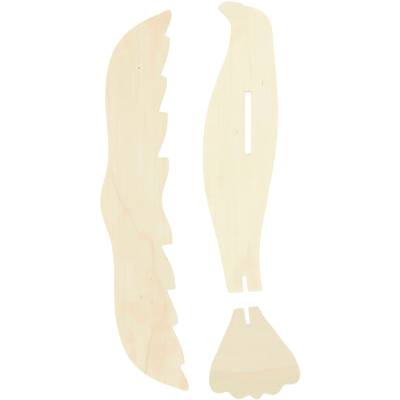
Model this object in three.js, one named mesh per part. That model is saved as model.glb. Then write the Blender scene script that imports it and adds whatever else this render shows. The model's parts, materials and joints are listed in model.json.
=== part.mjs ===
import * as THREE from "three";

// A bird-shaped hand glider as its three flat pieces, cut from one sheet of light plywood and laid out
// before they are slotted together: the wing on the left, the fuselage upright beside it with the head
// at +Y and the beak towards -X, and the tail below the fuselage. Millimetres, +Z up, underside on z = 0.
//
// Put together, the fuselage stands on edge, the wing goes through its slot as far as the middle of the
// span, and the tail, turned on edge, is pushed on so that its notch and the fuselage's notch overlap.

// The sheet and how it is cut
const SHEET = 3;
const CORNER = 0.8; // each corner is rounded over this much of both its sides

// Wing
const WING_SPAN = 255.8;
const ROOT_CHORD = 41.3; // leading edge to trailing edge at the middle of the span

// Fuselage
const FUSELAGE_LENGTH = 195.5; // crown of the head to the tail end
const BODY_DEPTH = 50.8; // belly to back
const SLOT_FROM_CROWN = 81.4; // crown to the middle of the wing slot
const TAIL_SLANT = 7; // degrees between the fuselage's length and its tail notch

// Tail
const TAIL_LENGTH = 61.8;
const TAIL_WIDTH = 61.2;

// What holds the pieces together
const NOTCH_DEPTH = 11.4; // in the fuselage and in the tail alike
const NOTCH_CLEARANCE = 0.2; // a push fit that holds by friction
const SLOT_CLEARANCE = 1.3; // loose across the sheet, because half the span is threaded through
const SLOT_END_CLEARANCE = 0.3; // at the leading and trailing edge together

// Layout, from the middle of the slot
const WING_ASIDE = 57.7; // to the trailing edge at the wing's middle
const WING_BELOW = 52.5;
const WING_TURN = 2.6; // degrees
const TAIL_GAP = 10.6; // mouth of the fuselage's notch to the mouth of the tail's
const TAIL_ASIDE = 1.2; // towards the belly, off the line of the fuselage's notch

// Drawing
const STEP = 1; // longest straight piece of a curve
const CORNER_STEPS = 4;

const WOOD = { wing: 0xf0e7cb, fuselage: 0xf4eed5, tail: 0xece3ca };
const WOOD_ROUGHNESS = 0.7;

// Leading edge from the middle of the span round the tip,
// in hundredths of the half span and of the root chord, counted back from the leading edge.
const LEADING_EDGE = [
  [0, 0],
  [7, 3],
  [13, 8.3],
  [20, 14.4],
  [31, 17.4],
  [45, 16.1],
  [57, 15.9],
  [70, 21.9],
  [80, 32.9],
  [88, 52.3],
  [94, 79.5],
  [98.2, 110.5],
  [99.8, 122.5],
  [99.9, 127.5],
  [98.7, 130.2],
];

// Trailing edge across the middle, from the middle of the span to the tip of the first feather
const ROOT_FEATHER = [
  [0, 100.1],
  [4, 101],
  [8, 105],
  [14, 111.7],
  [19, 114.5],
  [22.8, 113.6],
];

// The other feathers, outwards: where each one starts, its belly and its tip.
// The last one has no tip of its own, because it ends in the wing's tip.
const FEATHERS = [
  { start: [22.9, 94.2], belly: [[29.7, 104.2], [37, 112.9]], tip: [46.3, 116.3] },
  { start: [46.6, 100.5], belly: [[53.5, 109], [60, 116]], tip: [64.4, 117.6] },
  { start: [66.1, 106.3], belly: [[71.9, 114.8], [78.5, 122]], tip: [85.5, 125.6] },
  { start: [86.3, 115.8], belly: [[90.7, 122], [95, 128]] },
];

// Beak, throat and belly from the forehead to the tail end,
// in hundredths of the fuselage's length from the crown and of its depth from the slot (belly below zero).
const FRONT = [
  [0.15, -18],
  [0, -24],
  [0.25, -31.5],
  [1, -36.6],
  [1.7, -39.1],
  [2.3, -39.6],
  [3.1, -37.2],
  [4.4, -31.5],
  [6.1, -26],
  [8.5, -22.5],
  [12, -23],
  [17.5, -27.6],
  [28.5, -43.2],
  [37, -53.2],
  [45, -58.3],
  [53, -59.9],
  [61, -58.5],
  [69, -53.3],
  [82, -40.7],
  [91, -33],
  [98.4, -27.8],
  [99.7, -26.3],
  [100, -23.5],
];

// Tail end to nape and crown, along the back
const BACK = [
  [99.3, 19],
  [93, 16.3],
  [87, 15.2],
  [80, 17],
  [66, 27],
  [49, 37.5],
  [38, 39.9],
  [28, 38],
  [17, 34.3],
  [10.5, 32.3],
  [7.6, 30.2],
  [5.1, 25.2],
  [3.3, 17.3],
  [2.2, 7.5],
  [1.5, -3],
  [0.6, -10.5],
  [0.15, -18],
];

// How far along the tail end the notch is, from the belly's corner
const MOUTH_SHARE = 0.49;

// Side of the tail from its front corner round the outer lobe to the first dip,
// in hundredths of the tail's width from the middle and of its length from the front.
const TAIL_SIDE = [
  [13.6, 0],
  [15.3, 5],
  [18.9, 13],
  [27, 26],
  [36.8, 43],
  [44.5, 55.5],
  [48.6, 67],
  [50, 77],
  [48, 84.3],
  [43.5, 87.9],
  [37, 88.1],
  [31.4, 87.4],
];
// Second lobe, from dip to dip
const TAIL_LOBE = [
  [31.4, 87.4],
  [28, 91.2],
  [24.5, 95.2],
  [19.5, 97.3],
  [14.5, 96.3],
  [9.1, 93.9],
];
// Middle lobe, from its point to the dip beside it
const TAIL_MIDDLE = [
  [0, 100],
  [2.8, 99.2],
  [6, 95.9],
  [9.1, 93.9],
];

// --- Outlines ---

const reversed = (points) => [...points].reverse();

const flipped = (points) => points.map(([across, along]) => [-across, along]);

// A run over the middle line, from a half that starts on it
const bothSides = (half) => [...reversed(flipped(half)), ...half.slice(1)];

// Turns [share along x, share along y] points into millimetres, from an origin in the same shares.
function scaled(points, width, height, [x0, y0] = [0, 0]) {
  return points.map(([x, y]) => new THREE.Vector3(((x - x0) * width) / 100, ((y - y0) * height) / 100));
}

// One closed outline from runs laid end to end. A run is the list of points that one smooth curve goes
// through, or the two ends of a straight edge. Where two runs meet there is a corner, and it is rounded.
function outline(runs) {
  const curves = runs.map((points) => new THREE.CatmullRomCurve3(points));
  const shape = curves.flatMap((curve, i) => {
    const length = curve.getLength();
    const plain = length - 2 * CORNER;
    const steps = Math.ceil(plain / STEP);
    const along = Array.from({ length: steps + 1 }, (_, k) => CORNER + (plain * k) / steps);
    const points = along.map((distance) => curve.getPointAt(distance / length));
    const next = curves[(i + 1) % curves.length];
    const after = next.getPointAt(CORNER / next.getLength());
    const corner = new THREE.QuadraticBezierCurve3(points.at(-1), curve.getPointAt(1), after);
    return [...points, ...corner.getPoints(CORNER_STEPS).slice(1, -1)];
  });
  return new THREE.Shape(shape);
}

// Straight runs from corner to corner
const edges = (corners) => corners.slice(1).map((corner, i) => [corners[i], corner]);

// Corners of a notch cut into an edge at its mouth, from lip to lip. One sheet slides into it.
function notch(mouth, inward) {
  const half = (SHEET + NOTCH_CLEARANCE) / 2;
  const side = new THREE.Vector3(-inward.y, inward.x).multiplyScalar(half);
  const end = mouth.clone().addScaledVector(inward, NOTCH_DEPTH);
  return [
    mouth.clone().add(side),
    end.clone().add(side),
    end.clone().sub(side),
    mouth.clone().sub(side),
  ];
}

// --- Pieces ---

function sheetPiece(name, shape) {
  const geometry = new THREE.ExtrudeGeometry(shape, { depth: SHEET, bevelEnabled: false });
  const material = new THREE.MeshStandardMaterial({
    color: WOOD[name],
    roughness: WOOD_ROUGHNESS,
    metalness: 0,
  });
  const mesh = new THREE.Mesh(geometry, material);
  mesh.name = name;
  return mesh;
}

// The wing, with its span along Y and its origin on the trailing edge at the middle of the span
function wing() {
  const place = (points) =>
    scaled(
      points.map(([span, chord]) => [chord, span]),
      ROOT_CHORD,
      WING_SPAN / 2,
      [100, 0],
    );
  const wingTip = LEADING_EDGE.at(-1);
  const feathers = FEATHERS.map(({ start, belly, tip = wingTip }) => [start, ...belly, tip]);
  const tips = [ROOT_FEATHER, ...feathers].map((feather) => feather.at(-1));
  const half = feathers.flatMap((feather, i) => [[tips[i], feather[0]], feather]);
  const runs = [
    bothSides(LEADING_EDGE),
    ...reversed(half).map(reversed),
    reversed(bothSides(ROOT_FEATHER)),
    ...half.map(flipped),
  ];
  return sheetPiece("wing", outline(runs.map(place)));
}

// The fuselage, with its length along Y and its origin in the middle of the wing slot
function fuselage() {
  const place = (points) =>
    scaled(
      points.map(([length, depth]) => [depth, -length]),
      BODY_DEPTH,
      FUSELAGE_LENGTH,
      [0, (-100 * SLOT_FROM_CROWN) / FUSELAGE_LENGTH],
    );
  const front = place(FRONT);
  const back = place(BACK);
  const mouth = front.at(-1).clone().lerp(back[0], MOUTH_SHARE);
  const slant = THREE.MathUtils.degToRad(TAIL_SLANT);
  const lips = notch(mouth, new THREE.Vector3(-Math.sin(slant), Math.cos(slant)));
  const shape = outline([front, ...edges([front.at(-1), ...lips, back[0]]), back]);

  const halfWidth = (SHEET + SLOT_CLEARANCE) / 2;
  const halfLength = (ROOT_CHORD + SLOT_END_CLEARANCE) / 2;
  const slot = [
    new THREE.Vector3(-halfWidth, -halfLength),
    new THREE.Vector3(halfWidth, -halfLength),
    new THREE.Vector3(halfWidth, halfLength),
    new THREE.Vector3(-halfWidth, halfLength),
  ];
  shape.holes.push(outline(edges([...slot, slot[0]])));

  const mesh = sheetPiece("fuselage", shape);
  mesh.userData.mouth = mouth;
  return mesh;
}

// The tail, with its notch opening towards +Y and its origin in the middle of the notch's mouth
function tail() {
  const place = (points) => scaled(points, TAIL_WIDTH, -TAIL_LENGTH);
  const right = place(TAIL_SIDE);
  const left = place(flipped(TAIL_SIDE));
  const lips = notch(new THREE.Vector3(), new THREE.Vector3(0, -1));
  const runs = [
    ...edges([right[0], ...lips, left[0]]),
    left,
    place(flipped(TAIL_LOBE)),
    place(bothSides(TAIL_MIDDLE)),
    reversed(place(TAIL_LOBE)),
    reversed(right),
  ];
  return sheetPiece("tail", outline(runs));
}

// --- Layout ---

const body = fuselage();

const span = wing();
span.position.set(-WING_ASIDE, -WING_BELOW, 0);
span.rotation.z = THREE.MathUtils.degToRad(WING_TURN);

const rear = tail();
const turn = THREE.MathUtils.degToRad(TAIL_SLANT);
rear.rotation.z = turn;
rear.position
  .copy(body.userData.mouth)
  .add(new THREE.Vector3(-TAIL_ASIDE, -TAIL_GAP).applyAxisAngle(new THREE.Vector3(0, 0, 1), turn));

const layout = new THREE.Group();
layout.add(body, span, rear);

// The part's origin is under the middle of the whole layout.
const middle = new THREE.Box3().setFromObject(layout, true).getCenter(new THREE.Vector3());
layout.position.set(-middle.x, -middle.y, 0);

const group = new THREE.Group();
group.add(layout);

export default group;
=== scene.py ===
import json
import math

import bmesh
import bpy
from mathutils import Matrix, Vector


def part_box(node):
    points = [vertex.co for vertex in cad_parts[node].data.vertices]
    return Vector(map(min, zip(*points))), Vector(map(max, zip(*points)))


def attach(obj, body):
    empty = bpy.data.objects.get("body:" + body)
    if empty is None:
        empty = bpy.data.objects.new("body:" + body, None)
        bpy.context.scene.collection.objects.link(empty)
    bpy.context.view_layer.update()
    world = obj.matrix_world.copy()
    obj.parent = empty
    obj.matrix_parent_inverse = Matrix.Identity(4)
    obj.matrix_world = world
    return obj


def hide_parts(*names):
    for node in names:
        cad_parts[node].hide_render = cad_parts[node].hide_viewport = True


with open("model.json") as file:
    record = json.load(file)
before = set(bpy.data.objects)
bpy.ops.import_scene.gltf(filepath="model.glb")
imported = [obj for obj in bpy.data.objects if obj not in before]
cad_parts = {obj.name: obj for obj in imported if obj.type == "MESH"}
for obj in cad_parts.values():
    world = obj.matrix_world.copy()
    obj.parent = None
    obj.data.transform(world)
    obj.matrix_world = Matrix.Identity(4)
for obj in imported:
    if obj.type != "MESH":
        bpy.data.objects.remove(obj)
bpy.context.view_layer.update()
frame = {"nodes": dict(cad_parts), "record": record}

# --- Fuselage ---
# The bird's body in side view, one flat board of light plywood, bare and sanded. It is cut right through
# the sheet in one go, outline, wing slot and tail notch together, and its sharp edges are rubbed down.
# Two thin outer veneers with the grain along the body are glued on a core whose grain runs across it.

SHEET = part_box("fuselage")[1].z
VENEER = 0.0009  # each outer ply
CORE_SINK = 0.00006  # how far the softer core gives way when the cut edge is sanded
RUBBED_EDGE = 0.00018
FIELD = 0.0085  # side of the small fields that a flat side is ruled into
CLOSE = 1e-5  # two heights nearer than this are the same
BODY_DIVIDE = 0.0025  # from the slot's middle towards the head, where the flat sides are divided

MM = 0.001
ALONG_BODY = 0.0  # radians that the grain is turned from the length of the layout
PALE_VENEER = (0.80, 0.755, 0.565, 1)
PALEST_VENEER = (0.86, 0.815, 0.645, 1)
BODY_STREAK = (0.77, 0.70, 0.50, 1)
BODY_FIBRE = (0.66, 0.57, 0.38, 1)
HEAD_SHADE = (0.785, 0.735, 0.555, 1)
BODY_COOL = (0.827, 0.765, 0.660, 1)
BODY_TAN = (0.81, 0.715, 0.53, 1)
BODY_BLUSH = (0.86, 0.725, 0.565, 1)
BODY_RAY = (0.84, 0.70, 0.53, 1)
END_GRAIN = (0.62, 0.50, 0.31, 1)
GLUE = (0.36, 0.25, 0.13, 1)
GLUE_LINE = 0.05  # half its thickness, in millimetres
HANDLED_WOOD = (0.62, 0.50, 0.33, 1)
PORE = (0.52, 0.42, 0.25, 1)
FLECK = (0.30, 0.25, 0.12, 1)

# Short dark flecks along the grain: middle and half size, in millimetres from the board's middle
BODY_FLECKS = [(14.9, 42.9, 0.35, 1.8), (-2.3, 10.0, 0.3, 1.7)]
FLECK_DEPTH = 0.1

# Tiny dark marks at the two ends of the wing slot: how strong, then the same
SLOT_MARKS = [(0.4, 5.5, 37.3, 0.35, 0.35), (0.6, 6.2, -4.9, 0.5, 0.45)]


def pick(board, kind, wanted):
    """Selects only those of a board's faces or edges that wanted() says yes to."""
    bpy.ops.mesh.select_mode(type=kind)
    bpy.ops.mesh.select_all(action="DESELECT")
    mesh = bmesh.from_edit_mesh(board.data)
    for part in [p for p in (mesh.faces if kind == "FACE" else mesh.edges) if wanted(p)]:
        part.select_set(True)
    bmesh.update_edit_mesh(board.data)


def heights(part):
    return [corner.co.z for corner in part.verts]


def on_one_side(part):
    return max(heights(part)) < CLOSE or min(heights(part)) > SHEET - CLOSE


def is_core(face):
    return min(heights(face)) > VENEER - CLOSE and max(heights(face)) < SHEET - VENEER + CLOSE


def is_flat_side(face):
    return abs(face.normal.z) > 0.999 and on_one_side(face)


def is_rim(edge):
    return on_one_side(edge) and any(abs(face.normal.z) < 0.5 for face in edge.link_faces)


def only(board):
    """Makes the board the one thing that is selected."""
    bpy.ops.object.select_all(action="DESELECT")
    board.select_set(True)
    bpy.context.view_layer.objects.active = board


def cut_board(name, node, divide_at, square_to):
    """One board, cut out along its node's outline, with its plies showing and its edges rubbed down."""
    board = bpy.data.objects.new(name, frame["nodes"][node].data.copy())
    board.data.name = name
    bpy.context.collection.objects.link(board)
    only(board)
    bpy.ops.object.mode_set(mode="EDIT")
    bpy.ops.mesh.select_mode(type="EDGE")
    bpy.ops.mesh.select_all(action="SELECT")
    bpy.ops.mesh.remove_doubles(threshold=1e-6)
    # Each flat side becomes two whole faces, divided by a line whose ends fall between the outline's
    # points and not at a slant, so that the rubbed edge doesn't cross itself there.
    bpy.ops.mesh.bisect(plane_co=divide_at, plane_no=square_to)
    bpy.ops.mesh.mark_seam()
    bpy.ops.mesh.select_all(action="SELECT")
    bpy.ops.mesh.dissolve_limited(angle_limit=math.radians(0.05), delimit={"SEAM"})
    bpy.ops.mesh.select_all(action="SELECT")
    bpy.ops.mesh.mark_seam(clear=True)
    for glue_line in (VENEER, SHEET - VENEER):
        bpy.ops.mesh.select_all(action="SELECT")
        bpy.ops.mesh.bisect(plane_co=(0, 0, glue_line), plane_no=(0, 0, 1))
    pick(board, "FACE", is_core)
    bpy.ops.mesh.extrude_region()
    bpy.ops.transform.shrink_fatten(value=-CORE_SINK)
    pick(board, "EDGE", is_rim)
    bpy.ops.mesh.bevel(offset=RUBBED_EDGE, segments=2, affect="EDGES", clamp_overlap=False)
    # The flat sides are ruled into small fields, so that a flaw cut into one stays in it.
    low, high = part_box(node)
    for line in range(1, math.ceil((high.x - low.x) / FIELD)):
        pick(board, "FACE", is_flat_side)
        bpy.ops.mesh.bisect(plane_co=(low.x + line * FIELD, 0, 0), plane_no=(1, 0, 0))
    for line in range(1, math.ceil((high.y - low.y) / FIELD)):
        pick(board, "FACE", is_flat_side)
        bpy.ops.mesh.bisect(plane_co=(0, low.y + line * FIELD, 0), plane_no=(0, 1, 0))
    bpy.ops.object.mode_set(mode="OBJECT")
    return board


def middle_of(node):
    low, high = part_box(node)
    return (low + high) / 2


def sink_pit(board, node, x, y, across, along, depth):
    """A small flaw in the upper veneer where wood is missing, rounded at the bottom. Millimetres."""
    raised = 0.2  # how far over the surface the ball that scoops it out is centred, as a share of the depth
    place = middle_of(node) + Vector((x, y, 0)) * MM
    place.z = SHEET + depth * MM * raised
    bpy.ops.mesh.primitive_uv_sphere_add(segments=20, ring_count=10, location=place)
    scoop = bpy.context.object
    scoop.scale = (across * MM, along * MM, depth * MM * (1 + raised))
    cut = board.modifiers.new("pit", "BOOLEAN")
    cut.operation = "DIFFERENCE"
    cut.solver = "MANIFOLD"
    cut.object = scoop
    bpy.context.view_layer.objects.active = board
    bpy.ops.object.modifier_apply(modifier=cut.name)
    bpy.data.meshes.remove(scoop.data)


def sand_smooth(board):
    """Smooth shading round the outline and over the rubbed edges, with the flat sides kept flat."""
    only(board)
    bpy.ops.object.shade_smooth_by_angle(angle=math.radians(50))
    level = board.modifiers.new("flat sides", "WEIGHTED_NORMAL")
    level.keep_sharp = True
    bpy.ops.object.modifier_apply(modifier=level.name)


class Shade:
    """A value or colour over the wood's surface, as a socket that Python's operators work on."""

    def __init__(self, tree, socket=None):
        self.tree = tree
        self.socket = socket

    def add(self, kind, settings, sockets, out=0):
        node = self.tree.nodes.new("ShaderNode" + kind)
        for name, value in settings.items():
            if name == "bends":
                curve = node.mapping.curves[0].points
                curve[0].location, curve[1].location = value[0], value[-1]
                for bend in value[1:-1]:
                    curve.new(*bend)
                node.mapping.update()
            else:
                setattr(node, name, value)
        for name, value in sockets.items():
            if isinstance(value, Shade):
                self.tree.links.new(value.socket, node.inputs[name])
            else:
                node.inputs[name].default_value = value
        return Shade(self.tree, node.outputs[out]) if node.outputs else None

    def maths(self, operation, *values):
        return self.add("Math", {"operation": operation}, dict(enumerate(values)))

    def __add__(self, other):
        return self.maths("ADD", self, other)

    def __radd__(self, other):
        return self.maths("ADD", other, self)

    def __sub__(self, other):
        return self.maths("SUBTRACT", self, other)

    def __rsub__(self, other):
        return self.maths("SUBTRACT", other, self)

    def __mul__(self, other):
        return self.maths("MULTIPLY", self, other)

    def __rmul__(self, other):
        return self.maths("MULTIPLY", other, self)

    def __abs__(self):
        return self.maths("ABSOLUTE", self)

    def axis(self, name):
        return self.add("SeparateXYZ", {}, {0: self}, name)

    def vector(self, operation, other, out=0):
        return self.add("VectorMath", {"operation": operation}, {0: self, 1: other}, out)

    def within(self, low, high):
        """0 below low and 1 above high, with a soft step between them."""
        step = {"interpolation_type": "SMOOTHSTEP"}
        return self.add("MapRange", step, {0: self, 1: low, 2: high})

    def between(self, first, second):
        """A colour between two others, by this value as the second one's share."""
        return self.add("Mix", {"data_type": "RGBA"}, {0: self, 6: first, 7: second}, 2)

    def tinted(self, colour, share):
        """This colour, turned towards another one by a share."""
        return share.between(self, colour)


def start_finish(name):
    finish = bpy.data.materials.new(name)
    finish.use_nodes = True
    finish.node_tree.nodes.clear()
    return finish, Shade(finish.node_tree)


def measured_from(wood, point):
    """The place on a board that patterns are drawn from, in millimetres from a point."""
    place = wood.add("TexCoord", {}, {}, "Object")
    rule = {0: place, "Location": point, "Scale": (MM, MM, MM)}
    return wood.add("Mapping", {"vector_type": "TEXTURE"}, rule)


def figure(place, turn, across, along, detail, start):
    """Noise drawn out along the grain. Its marks are across wide and along long, in millimetres."""
    size = (across, along, 0.6)
    rule = {0: place, "Location": (start, start, 0), "Rotation": (0, 0, turn), "Scale": size}
    drawn = place.add("Mapping", {"vector_type": "TEXTURE"}, rule)
    return place.add("TexNoise", {}, {"Vector": drawn, "Scale": 1.0, "Detail": detail, "Roughness": 0.6})


def wandering(place, reach, size):
    """The place, pushed about by up to half the reach, so that what is drawn there gets uneven edges."""
    push = place.add("TexNoise", {}, {"Vector": place, "Scale": 1 / size, "Detail": 4}, "Color")
    push = push.vector("SUBTRACT", (0.5, 0.5, 0.5)).vector("MULTIPLY", (reach, reach, 0))
    return place.vector("ADD", push)


def patch(place, edge, x, y, across, along, turn=0.0):
    """A soft oval patch on the upper side. At across and along from its middle it has faded by half."""
    faded = 0.4
    deep = 2.5  # so it has faded by half at the middle of the sheet, and has gone before the underside
    size = (across / (1 - faded), along / (1 - faded), deep)
    rule = {0: place, "Location": (x, y, SHEET / MM / 2), "Rotation": (0, 0, turn), "Scale": size}
    drawn = place.add("Mapping", {"vector_type": "TEXTURE"}, rule)
    ball = place.add("TexGradient", {"gradient_type": "SPHERICAL"}, {0: drawn}, "Fac")
    return ball.within(faded - edge, faded + edge)


def patches(place, edge, spots):
    """Several patches as one value. Each spot is its strength and then what patch() takes."""
    shares = [strength * patch(place, edge, *spot) for strength, *spot in spots]
    return sum(shares[1:], shares[0])


def finish_wood(place, turn, colour, relief):
    """The pores, the cut edge with its plies, the rim, the gloss and the relief, alike on all boards."""
    height = place.axis("Z")
    facing = place.add("TexCoord", {}, {}, "Normal")
    level = place.add("Mapping", {"vector_type": "TEXTURE"}, {0: facing, "Rotation": (0, 0, turn)})
    across, along = abs(level.axis("X")), abs(level.axis("Y"))
    half_core = SHEET / MM / 2 - VENEER / MM
    core = height.maths("COMPARE", height, 0.0, half_core)
    glue = height.maths("COMPARE", abs(height), half_core, GLUE_LINE)

    dashes = figure(place, turn, 0.10, 1.4, 1, 210.0).within(0.60, 0.72)
    colour = colour.tinted(PORE, dashes * 0.3)

    # End grain is darker and rougher: it shows on the veneers' cut ends and along the core's sides.
    end_grain = along * (1 - core) + across * core
    pores = figure(place, turn, 0.12, 0.12, 2, 0.0).within(0.5, 0.68)
    colour = colour.tinted(END_GRAIN, end_grain * (0.16 + 0.26 * pores) + core * 0.32)
    colour = colour.tinted(GLUE, glue * 0.6)

    # The rubbed rim has taken up a little dirt from handling.
    rounded = place.add("Bevel", {"samples": 6}, {"Radius": 0.0005})
    straight = place.add("NewGeometry", {}, {}, "Normal")
    lean = rounded.vector("DOT_PRODUCT", straight, "Value")
    colour = colour.tinted(HANDLED_WOOD, (1 - lean).within(0.0, 0.3) * 0.12)

    surface = relief - 0.4 * dashes - 0.8 * pores * end_grain
    bump = place.add("Bump", {}, {"Strength": 0.6, "Distance": 0.00008, "Height": surface})
    gloss = {
        "Base Color": colour,
        "Roughness": 0.58 + 0.12 * relief + 0.2 * end_grain,
        "Normal": bump,
        "IOR": 1.45,
        "Specular IOR Level": 0.35,
    }
    place.add("OutputMaterial", {}, {"Surface": place.add("BsdfPrincipled", {}, gloss)})


def dress(board, finish):
    board.data.materials.clear()
    board.data.materials.append(finish)


slot_box = next(o for o in frame["record"]["physics"]["openings"] if o["name"] == "wing_slot")["box_m"]
slot_middle = (Vector(slot_box[0]) + Vector(slot_box[1])) / 2
divide_at = slot_middle + Vector((0, BODY_DIVIDE, 0))
fuselage = cut_board("fuselage_board", "fuselage", divide_at, (0, 1, 0))
for fleck in BODY_FLECKS:
    sink_pit(fuselage, "fuselage", *fleck, FLECK_DEPTH)
sand_smooth(fuselage)

pale_wood, wood = start_finish("pale_plywood")
place = measured_from(wood, middle_of("fuselage"))
streaks = figure(place, ALONG_BODY, 1.6, 90, 4, 0)
fibres = figure(place, ALONG_BODY, 0.22, 5, 4, 0)
clouds = figure(place, ALONG_BODY, 18, 50, 2, 300)
loose = wandering(place, 5, 7)
tan = patches(
    loose,
    0.3,
    [
        (0.8, -0.6, 77.4, 5.2, 4.8),
        (0.8, -5.4, 71.6, 2.2, 4.6),
        (0.8, 5.7, -70.0, 1.4, 6.0),
        (0.9, 5.1, -78.8, 6.0, 5.4),
        (0.9, -1.6, -88.5, 4.0, 7.0),
        (0.9, 8.2, -90.1, 4.0, 6.0),
        (0.6, -12.7, -20.5, 1.6, 9.7),
        (0.4, -21.6, -27.2, 1.4, 7.7),
    ],
)
shade = patch(loose, 0.3, -3.5, 91.0, 11.0, 9.0)
blush = patches(
    loose,
    0.25,
    [
        (0.8, -7.9, 96.0, 2.6, 1.8),
        (0.5, -0.5, 83.6, 5.7, 1.2),
        (0.6, 15.6, 87.1, 1.0, 1.3),
        (0.5, 21.3, 38.5, 1.7, 2.3),
        (0.4, -17.8, 29.8, 1.8, 5.0),
        (0.4, -18.9, 11.0, 3.4, 3.7),
        (0.5, 17.6, 4.3, 3.0, 2.3),
        (0.3, -3.0, -58.7, 2.0, 1.7),
        (0.3, -8.0, -41.4, 2.3, 2.3),
        (0.5, -23.4, -31.0, 1.2, 8.0),
    ],
)
ray = patches(
    wandering(place, 0.6, 8),
    0.3,
    [(0.4, 4.4, 74.0, 0.7, 11.0, 0.02), (0.4, 7.4, 51.0, 1.1, 6.0, 0.08), (0.5, 10.6, -88.8, 0.4, 6.4)],
)
cool = patches(
    loose,
    0.3,
    [
        (0.8, 15.2, 66.0, 4.7, 11.0),
        (0.9, 15.6, 28.5, 6.0, 13.0),
        (0.8, -2.3, -3.7, 3.9, 6.4),
        (0.6, -11.6, 12.7, 1.3, 2.0),
        (0.6, -9.9, 50.2, 2.3, 4.0),
    ],
)
marks = patches(place, 0.3, [(0.3, *fleck) for fleck in BODY_FLECKS] + SLOT_MARKS)
colour = clouds.between(PALE_VENEER, PALEST_VENEER)
colour = colour.tinted(BODY_STREAK, streaks.within(0.45, 0.75) * 0.35)
colour = colour.tinted(BODY_FIBRE, fibres.within(0.55, 0.8) * 0.25)
colour = colour.tinted(HEAD_SHADE, shade * 0.8)
colour = colour.tinted(BODY_COOL, cool * 0.7)
colour = colour.tinted(BODY_TAN, tan * 0.8)
colour = colour.tinted(BODY_BLUSH, blush * 0.7)
colour = colour.tinted(BODY_RAY, ray)
colour = colour.tinted(FLECK, marks)
finish_wood(place, ALONG_BODY, colour, 0.5 * streaks + 0.5 * fibres)
dress(fuselage, pale_wood)
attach(fuselage, "fuselage")
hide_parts("fuselage")

# --- Wing ---
# Both halves in one board from a pinker part of the same sheet, with the grain along the span. It has a
# growth ring that wanders down one half, a pin knot near the other wing tip and pink patches between.

WING_DIVIDE = 0.004  # from the middle of the span towards the upper tip, where the flat sides are divided
ALONG_SPAN = 0.0
TAN_VENEER = (0.765, 0.697, 0.495, 1)
PINK_VENEER = (0.825, 0.752, 0.575, 1)
PEACH = (0.815, 0.650, 0.470, 1)
WING_SHADE = (0.74, 0.67, 0.47, 1)
WING_LILAC = (0.815, 0.725, 0.585, 1)
WING_COOL = (0.80, 0.765, 0.635, 1)
WING_RAY = (0.83, 0.75, 0.62, 1)
WING_STREAK = (0.71, 0.62, 0.43, 1)
WING_FIBRE = (0.60, 0.50, 0.32, 1)
WING_TAN = (0.765, 0.635, 0.445, 1)
BESIDE_RING = (0.79, 0.66, 0.47, 1)
PALE_RING = (0.60, 0.50, 0.32, 1)
BROWN_RING = (0.68, 0.49, 0.28, 1)
KNOT_HALO = (0.88, 0.83, 0.68, 1)
DARK_MARK = (0.22, 0.16, 0.09, 1)
KNOT = (-3.6, 88.6)
KNOT_PIT = (0.45, 0.5, 0.18)  # half its width and length, and its depth
WING_FLECKS = [(4.4, -52.4, 0.25, 1.3), (-1.8, -65.0, 0.4, 1.4), (5.1, -68.5, 0.25, 0.9)]

# The growth ring from the leading edge down to the lower wing tip, as (along the span, across it)
# in millimetres from the board's middle
RING = [
    (23.6, -23.0),
    (13.6, -20.5),
    (0.2, -16.3),
    (-9.0, -10.5),
    (-18.3, -6.3),
    (-23.5, -2.9),
    (-26.5, 4.6),
    (-31.7, 5.8),
    (-43.4, 6.0),
    (-51.8, 8.0),
    (-58.5, 11.4),
    (-65.2, 13.0),
    (-75.2, 13.0),
    (-81.9, 10.5),
    (-86.9, 6.3),
    (-93.6, 3.8),
    (-103.7, 2.1),
    (-117.0, 0.7),
]

divide_at = middle_of("wing") + Vector((0, WING_DIVIDE, 0))
wing = cut_board("wing_board", "wing", divide_at, (0, 1, 0))
sink_pit(wing, "wing", *KNOT, *KNOT_PIT)
for fleck in WING_FLECKS:
    sink_pit(wing, "wing", *fleck, FLECK_DEPTH)
sand_smooth(wing)

pink_wood, wood = start_finish("pink_plywood")
place = measured_from(wood, middle_of("wing"))
streaks = figure(place, ALONG_SPAN, 1.4, 80, 4, 700)
fibres = figure(place, ALONG_SPAN, 0.22, 5, 4, 500)
clouds = figure(place, ALONG_SPAN, 16, 50, 2, 900)
strips = figure(place, ALONG_SPAN, 5, 40, 2, 1300).within(0.42, 0.62)


def beside_ring(place, points, along, across, start):
    """How far to one side of a growth ring the place is, in millimetres."""
    first, last = points[0][0], points[-1][0]
    offsets = [offset for _, offset in points]
    least, spread = min(offsets), max(offsets) - min(offsets)
    bends = [((at - first) / (last - first), (offset - least) / spread) for at, offset in points]
    progress = (place.axis(along) - first) * (1 / (last - first))
    course = place.add("FloatCurve", {"bends": bends}, {"Value": progress}) * spread + least
    wobble = figure(place, 0, 3, 3, 2, start) - 0.5
    return place.axis(across) - course + 1.2 * wobble


span, chord = place.axis("Y"), place.axis("X")
top = place.axis("Z").within(0.5, 0.9)
beside = beside_ring(place, RING[::-1], "Y", "X", 200)
ring_here = span.within(-121, -115) * (1 - span.within(17.6, 23.6)) * top
browner = 1 - span.within(-96, -84)
ring = (1 - (abs(beside) - 0.4 * browner).within(0.0, 1.3)) * ring_here
ring_side = (1 - beside.within(0.0, 5.0)) * beside.within(-1.2, 0.0)
ring_side = ring_side * ring_here * (1 - span.within(-40, -25))

# A band of pink wood with one straight, crisp side runs in from the tip.
band_side = 7.6 + 4.2 * span.within(98, 103)
band = (chord + 0.6 * strips).within(3.7, 4.5) * (1 - (chord - band_side).within(-1.2, 1.4))
band = band * span.within(81, 86) * top

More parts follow.
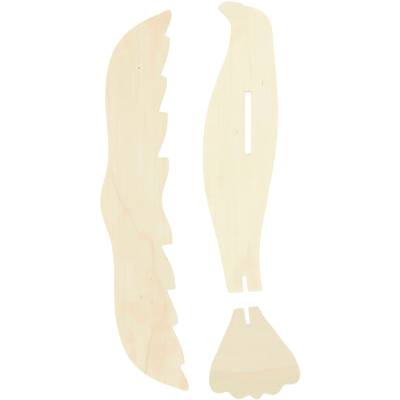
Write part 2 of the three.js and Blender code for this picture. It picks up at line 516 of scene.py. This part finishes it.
loose = wandering(place, 5, 6)
blush = patches(
    loose,
    0.2,
    [
        (0.9, 3.6, -52.2, 4.2, 7.0),
        (0.7, 10.0, -60.1, 2.8, 6.2),
        (0.8, -2.3, -64.8, 2.2, 2.2),
        (0.5, 2.8, -66.2, 3.2, 4.8),
        (0.9, -8.8, -71.4, 8.6, 4.0),
        (0.9, 7.8, -73.2, 3.0, 6.8),
        (0.8, 13.5, -74.9, 3.3, 7.0),
        (0.9, -2.7, -78.9, 6.4, 4.2),
        (0.8, 10.7, -84.6, 7.0, 4.6),
        (0.8, -9.5, -92.0, 3.4, 4.6),
        (1.0, 8.8, -103.7, 4.6, 15.0),
        (0.8, 16.8, -97.7, 4.8, 6.4),
        (0.8, -7.4, -104.2, 2.8, 4.6),
        (0.9, 26.2, -121.8, 3.4, 4.8),
        (0.8, -15.2, 94.2, 2.2, 2.5),
        (0.8, -11.3, 106.5, 2.7, 5.6),
        (0.9, -23.5, 73.2, 1.9, 6.9),
        (0.6, 13.7, 95.5, 1.2, 5.5),
        (0.9, -12.3, -7.9, 3.6, 3.0, 0.7),
        (1.0, -0.3, -24.0, 4.9, 3.0, 0.2),
        (0.7, 4.8, -32.7, 1.7, 4.9),
    ],
)
blotches = figure(place, ALONG_SPAN, 4, 9, 3, 1500).within(0.26, 0.42)
tan = patches(
    loose, 0.3, [(1.0, 10.5, 121.5, 9.0, 8.0), (0.7, 8.4, 108.7, 0.9, 8.5), (0.6, 10.7, -84.6, 6.5, 4.6)]
)
cool = patches(
    loose,
    0.25,
    [
        (0.8, -2.3, 29.3, 2.0, 13.1),
        (0.8, 4.4, 10.9, 4.7, 11.0),
        (0.7, 12.8, -20.6, 4.4, 5.0),
        (0.3, -20.7, -8.0, 4.4, 12.5),
        (0.3, -12.7, -50.0, 5.0, 12.5),
    ],
)
lilac = patches(
    loose,
    0.2,
    [
        (0.7, -8.6, 27.0, 3.0, 13.4),
        (0.7, 3.8, 42.0, 3.4, 8.4),
        (0.6, 3.0, -10.6, 6.0, 9.0),
        (0.6, -11.3, 5.2, 5.0, 5.0),
    ],
)
shade = patches(
    loose,
    0.35,
    [
        (0.8, -14.7, 88.0, 13.5, 31.0),
        (0.4, -7.7, -36.0, 6.2, 6.2),
        (0.5, -22.7, -90.0, 6.2, 12.5),
    ],
)
ray = patch(wandering(place, 0.6, 8), 0.3, -7.6, 78.2, 0.7, 12.0)
halo = patch(place, 0.3, *KNOT, 1.4, 1.5)
marks = patches(place, 0.3, [(0.85, *KNOT, 0.5, 0.55)] + [(0.25, *fleck) for fleck in WING_FLECKS])

colour = clouds.between(TAN_VENEER, PINK_VENEER)
colour = colour.tinted(WING_SHADE, shade * 0.5)
colour = colour.tinted(WING_LILAC, strips * 0.35 + lilac * 0.5)
colour = colour.tinted(WING_COOL, cool * 0.7)
colour = colour.tinted(WING_RAY, ray * 0.7)
colour = colour.tinted(WING_STREAK, streaks.within(0.45, 0.75) * 0.35)
colour = colour.tinted(WING_FIBRE, fibres.within(0.55, 0.8) * 0.25)
colour = colour.tinted(WING_TAN, tan * 0.8)
colour = colour.tinted(PEACH, blush * blotches * (0.5 + 0.6 * streaks))
colour = colour.tinted(PEACH, band * (0.35 + 0.6 * streaks))
colour = colour.tinted(BESIDE_RING, ring_side * 0.3)
ring_colour = browner.between(PALE_RING, BROWN_RING)
ring_share = (0.05 + 0.30 * streaks) * (0.65 + 0.5 * span.within(-38, -25) + 0.9 * browner)
colour = colour.tinted(ring_colour, ring * ring_share)
colour = colour.tinted(KNOT_HALO, halo * 0.5)
colour = colour.tinted(DARK_MARK, marks * 0.9)
finish_wood(place, ALONG_SPAN, colour, 0.5 * streaks + 0.5 * fibres + 0.2 * ring)
dress(wing, pink_wood)
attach(wing, "wing")
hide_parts("wing")

# --- Tail ---
# A small fan cut across the sheet, so that its grain runs from side to side. Its veneer is a shade
# greyer, and a pinkish growth ring crosses it in front of the scalloped rear edge.

TAIL_SLANT = math.radians(7)  # between the fan's middle line and the length of the layout
ALONG_FAN = math.radians(93.6)  # grain
GREY_VENEER = (0.750, 0.675, 0.505, 1)
GREYEST_VENEER = (0.795, 0.718, 0.550, 1)
TAIL_REAR = (0.73, 0.67, 0.475, 1)
TAIL_STREAK = (0.68, 0.60, 0.42, 1)
TAIL_FIBRE = (0.58, 0.50, 0.33, 1)
TAIL_BAND = (0.74, 0.64, 0.44, 1)
TAIL_LINE = (0.60, 0.53, 0.34, 1)

# The growth ring from side to side, as (across the layout, along it) in millimetres from the board's middle
TAIL_RING = [(-37.5, -13.3), (-16.5, -13.0), (-4.5, -13.3), (5.5, -12.3), (16.5, -10.6), (33.5, -8.9)]

divide_at = Vector((0.0308, -0.0721, 0))  # on the fan's middle line, at the mouth of its notch
tail = cut_board("tail_board", "tail", divide_at, (math.cos(TAIL_SLANT), math.sin(TAIL_SLANT), 0))
sand_smooth(tail)

grey_wood, wood = start_finish("grey_plywood")
place = measured_from(wood, middle_of("tail"))
streaks = figure(place, ALONG_FAN, 1.2, 50, 4, 1100)
fibres = figure(place, ALONG_FAN, 0.22, 5, 4, 1300)
clouds = figure(place, ALONG_FAN, 14, 40, 2, 1700)
top = place.axis("Z").within(0.5, 0.9)
behind = -1 * beside_ring(place, TAIL_RING, "X", "Y", 400)
line = (1 - abs(behind).within(0.0, 1.1)) * top
band = behind.within(0.0, 0.6) * (1 - behind.within(2.0, 7.5)) * top
rear = 1 - place.axis("Y").within(-17, -10)
blush = patches(
    wandering(place, 2, 5),
    0.12,
    [
        (0.9, -10.0, -16.5, 1.8, 5.5, ALONG_FAN),
        (0.9, -1.0, -16.6, 1.9, 6.5, ALONG_FAN),
        (0.9, 13.0, -12.6, 2.0, 9.5, ALONG_FAN),
        (0.6, 11.7, -16.8, 1.1, 2.2, ALONG_FAN),
    ],
)
colour = clouds.between(GREY_VENEER, GREYEST_VENEER)
colour = colour.tinted(TAIL_REAR, rear * 0.8)
colour = colour.tinted(TAIL_STREAK, streaks.within(0.45, 0.75) * 0.25)
colour = colour.tinted(TAIL_FIBRE, fibres.within(0.55, 0.8) * 0.25)
colour = colour.tinted(TAIL_BAND, band * 0.3)
colour = colour.tinted(PEACH, blush * (0.5 + 0.6 * streaks))
colour = colour.tinted(TAIL_LINE, line * (0.03 + 0.4 * streaks))
finish_wood(place, ALONG_FAN, colour, 0.5 * streaks + 0.5 * fibres)
dress(tail, grey_wood)
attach(tail, "tail")
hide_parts("tail")

# --- Table, light and camera ---
# The three boards lie on a plain white table, under one large soft lamp and even white light from all
# round. The camera looks straight down on them from high up, with the bird's head at the top.

TABLE_RADIUS = 5
BELOW_BOARDS = 0.00005
WHITE = (1, 1, 1, 1)
PAINT = (0.55, 0.55, 0.55, 1)
SKY = 0.72  # strength of the light from all round
SKY_SEEN = 0.4  # how much brighter the sky itself looks

bpy.ops.object.select_all(action="DESELECT")
bpy.ops.mesh.primitive_circle_add(
    vertices=64, radius=TABLE_RADIUS, fill_type="NGON", location=(0, 0, -BELOW_BOARDS)
)
table = bpy.context.object
table.name = "table"
white_top, top = start_finish("white_table")
# It glows a little, so that it stays white where the boards keep light off it.
paint = {
    "Base Color": PAINT,
    "Roughness": 0.9,
    "Specular IOR Level": 0.1,
    "Emission Color": WHITE,
    "Emission Strength": 0.52,
}
top.add("OutputMaterial", {}, {"Surface": top.add("BsdfPrincipled", {}, paint)})
dress(table, white_top)

world = bpy.data.worlds.new("even white light")
bpy.context.scene.world = world
world.use_nodes = True
world.node_tree.nodes.clear()
sky = Shade(world.node_tree)
seen_directly = sky.add("LightPath", {}, {}, "Is Camera Ray")
glow = sky.add("Background", {}, {"Color": WHITE, "Strength": SKY + SKY_SEEN * seen_directly})
sky.add("OutputWorld", {}, {"Surface": glow})

soft_lamp = bpy.data.lights.new("soft lamp", "AREA")
soft_lamp.shape = "SQUARE"
soft_lamp.size = 2.4
soft_lamp.energy = 30.0
lamp = bpy.data.objects.new("soft lamp", soft_lamp)
lamp.location = (-0.4, 0.5, 2.3)
lamp.rotation_euler = (-lamp.location).to_track_quat("-Z", "Y").to_euler()
bpy.context.collection.objects.link(lamp)

FRAME_WIDTH = 0.268  # what the camera takes in, at the height of the boards' upper side
LENS, SENSOR = 200.0, 36.0
OVER_X, OVER_Y = -0.00003, 0.00017  # the camera hangs over a point a hair off the layout's middle
eye = bpy.data.cameras.new("camera")
eye.lens = LENS
eye.sensor_width = SENSOR
eye.clip_start, eye.clip_end = 0.1, 20
camera = bpy.data.objects.new("camera", eye)
camera.location = (OVER_X, OVER_Y, SHEET + FRAME_WIDTH * LENS / SENSOR)
bpy.context.collection.objects.link(camera)
bpy.context.scene.camera = camera
bpy.context.scene.view_settings.view_transform = "Standard"
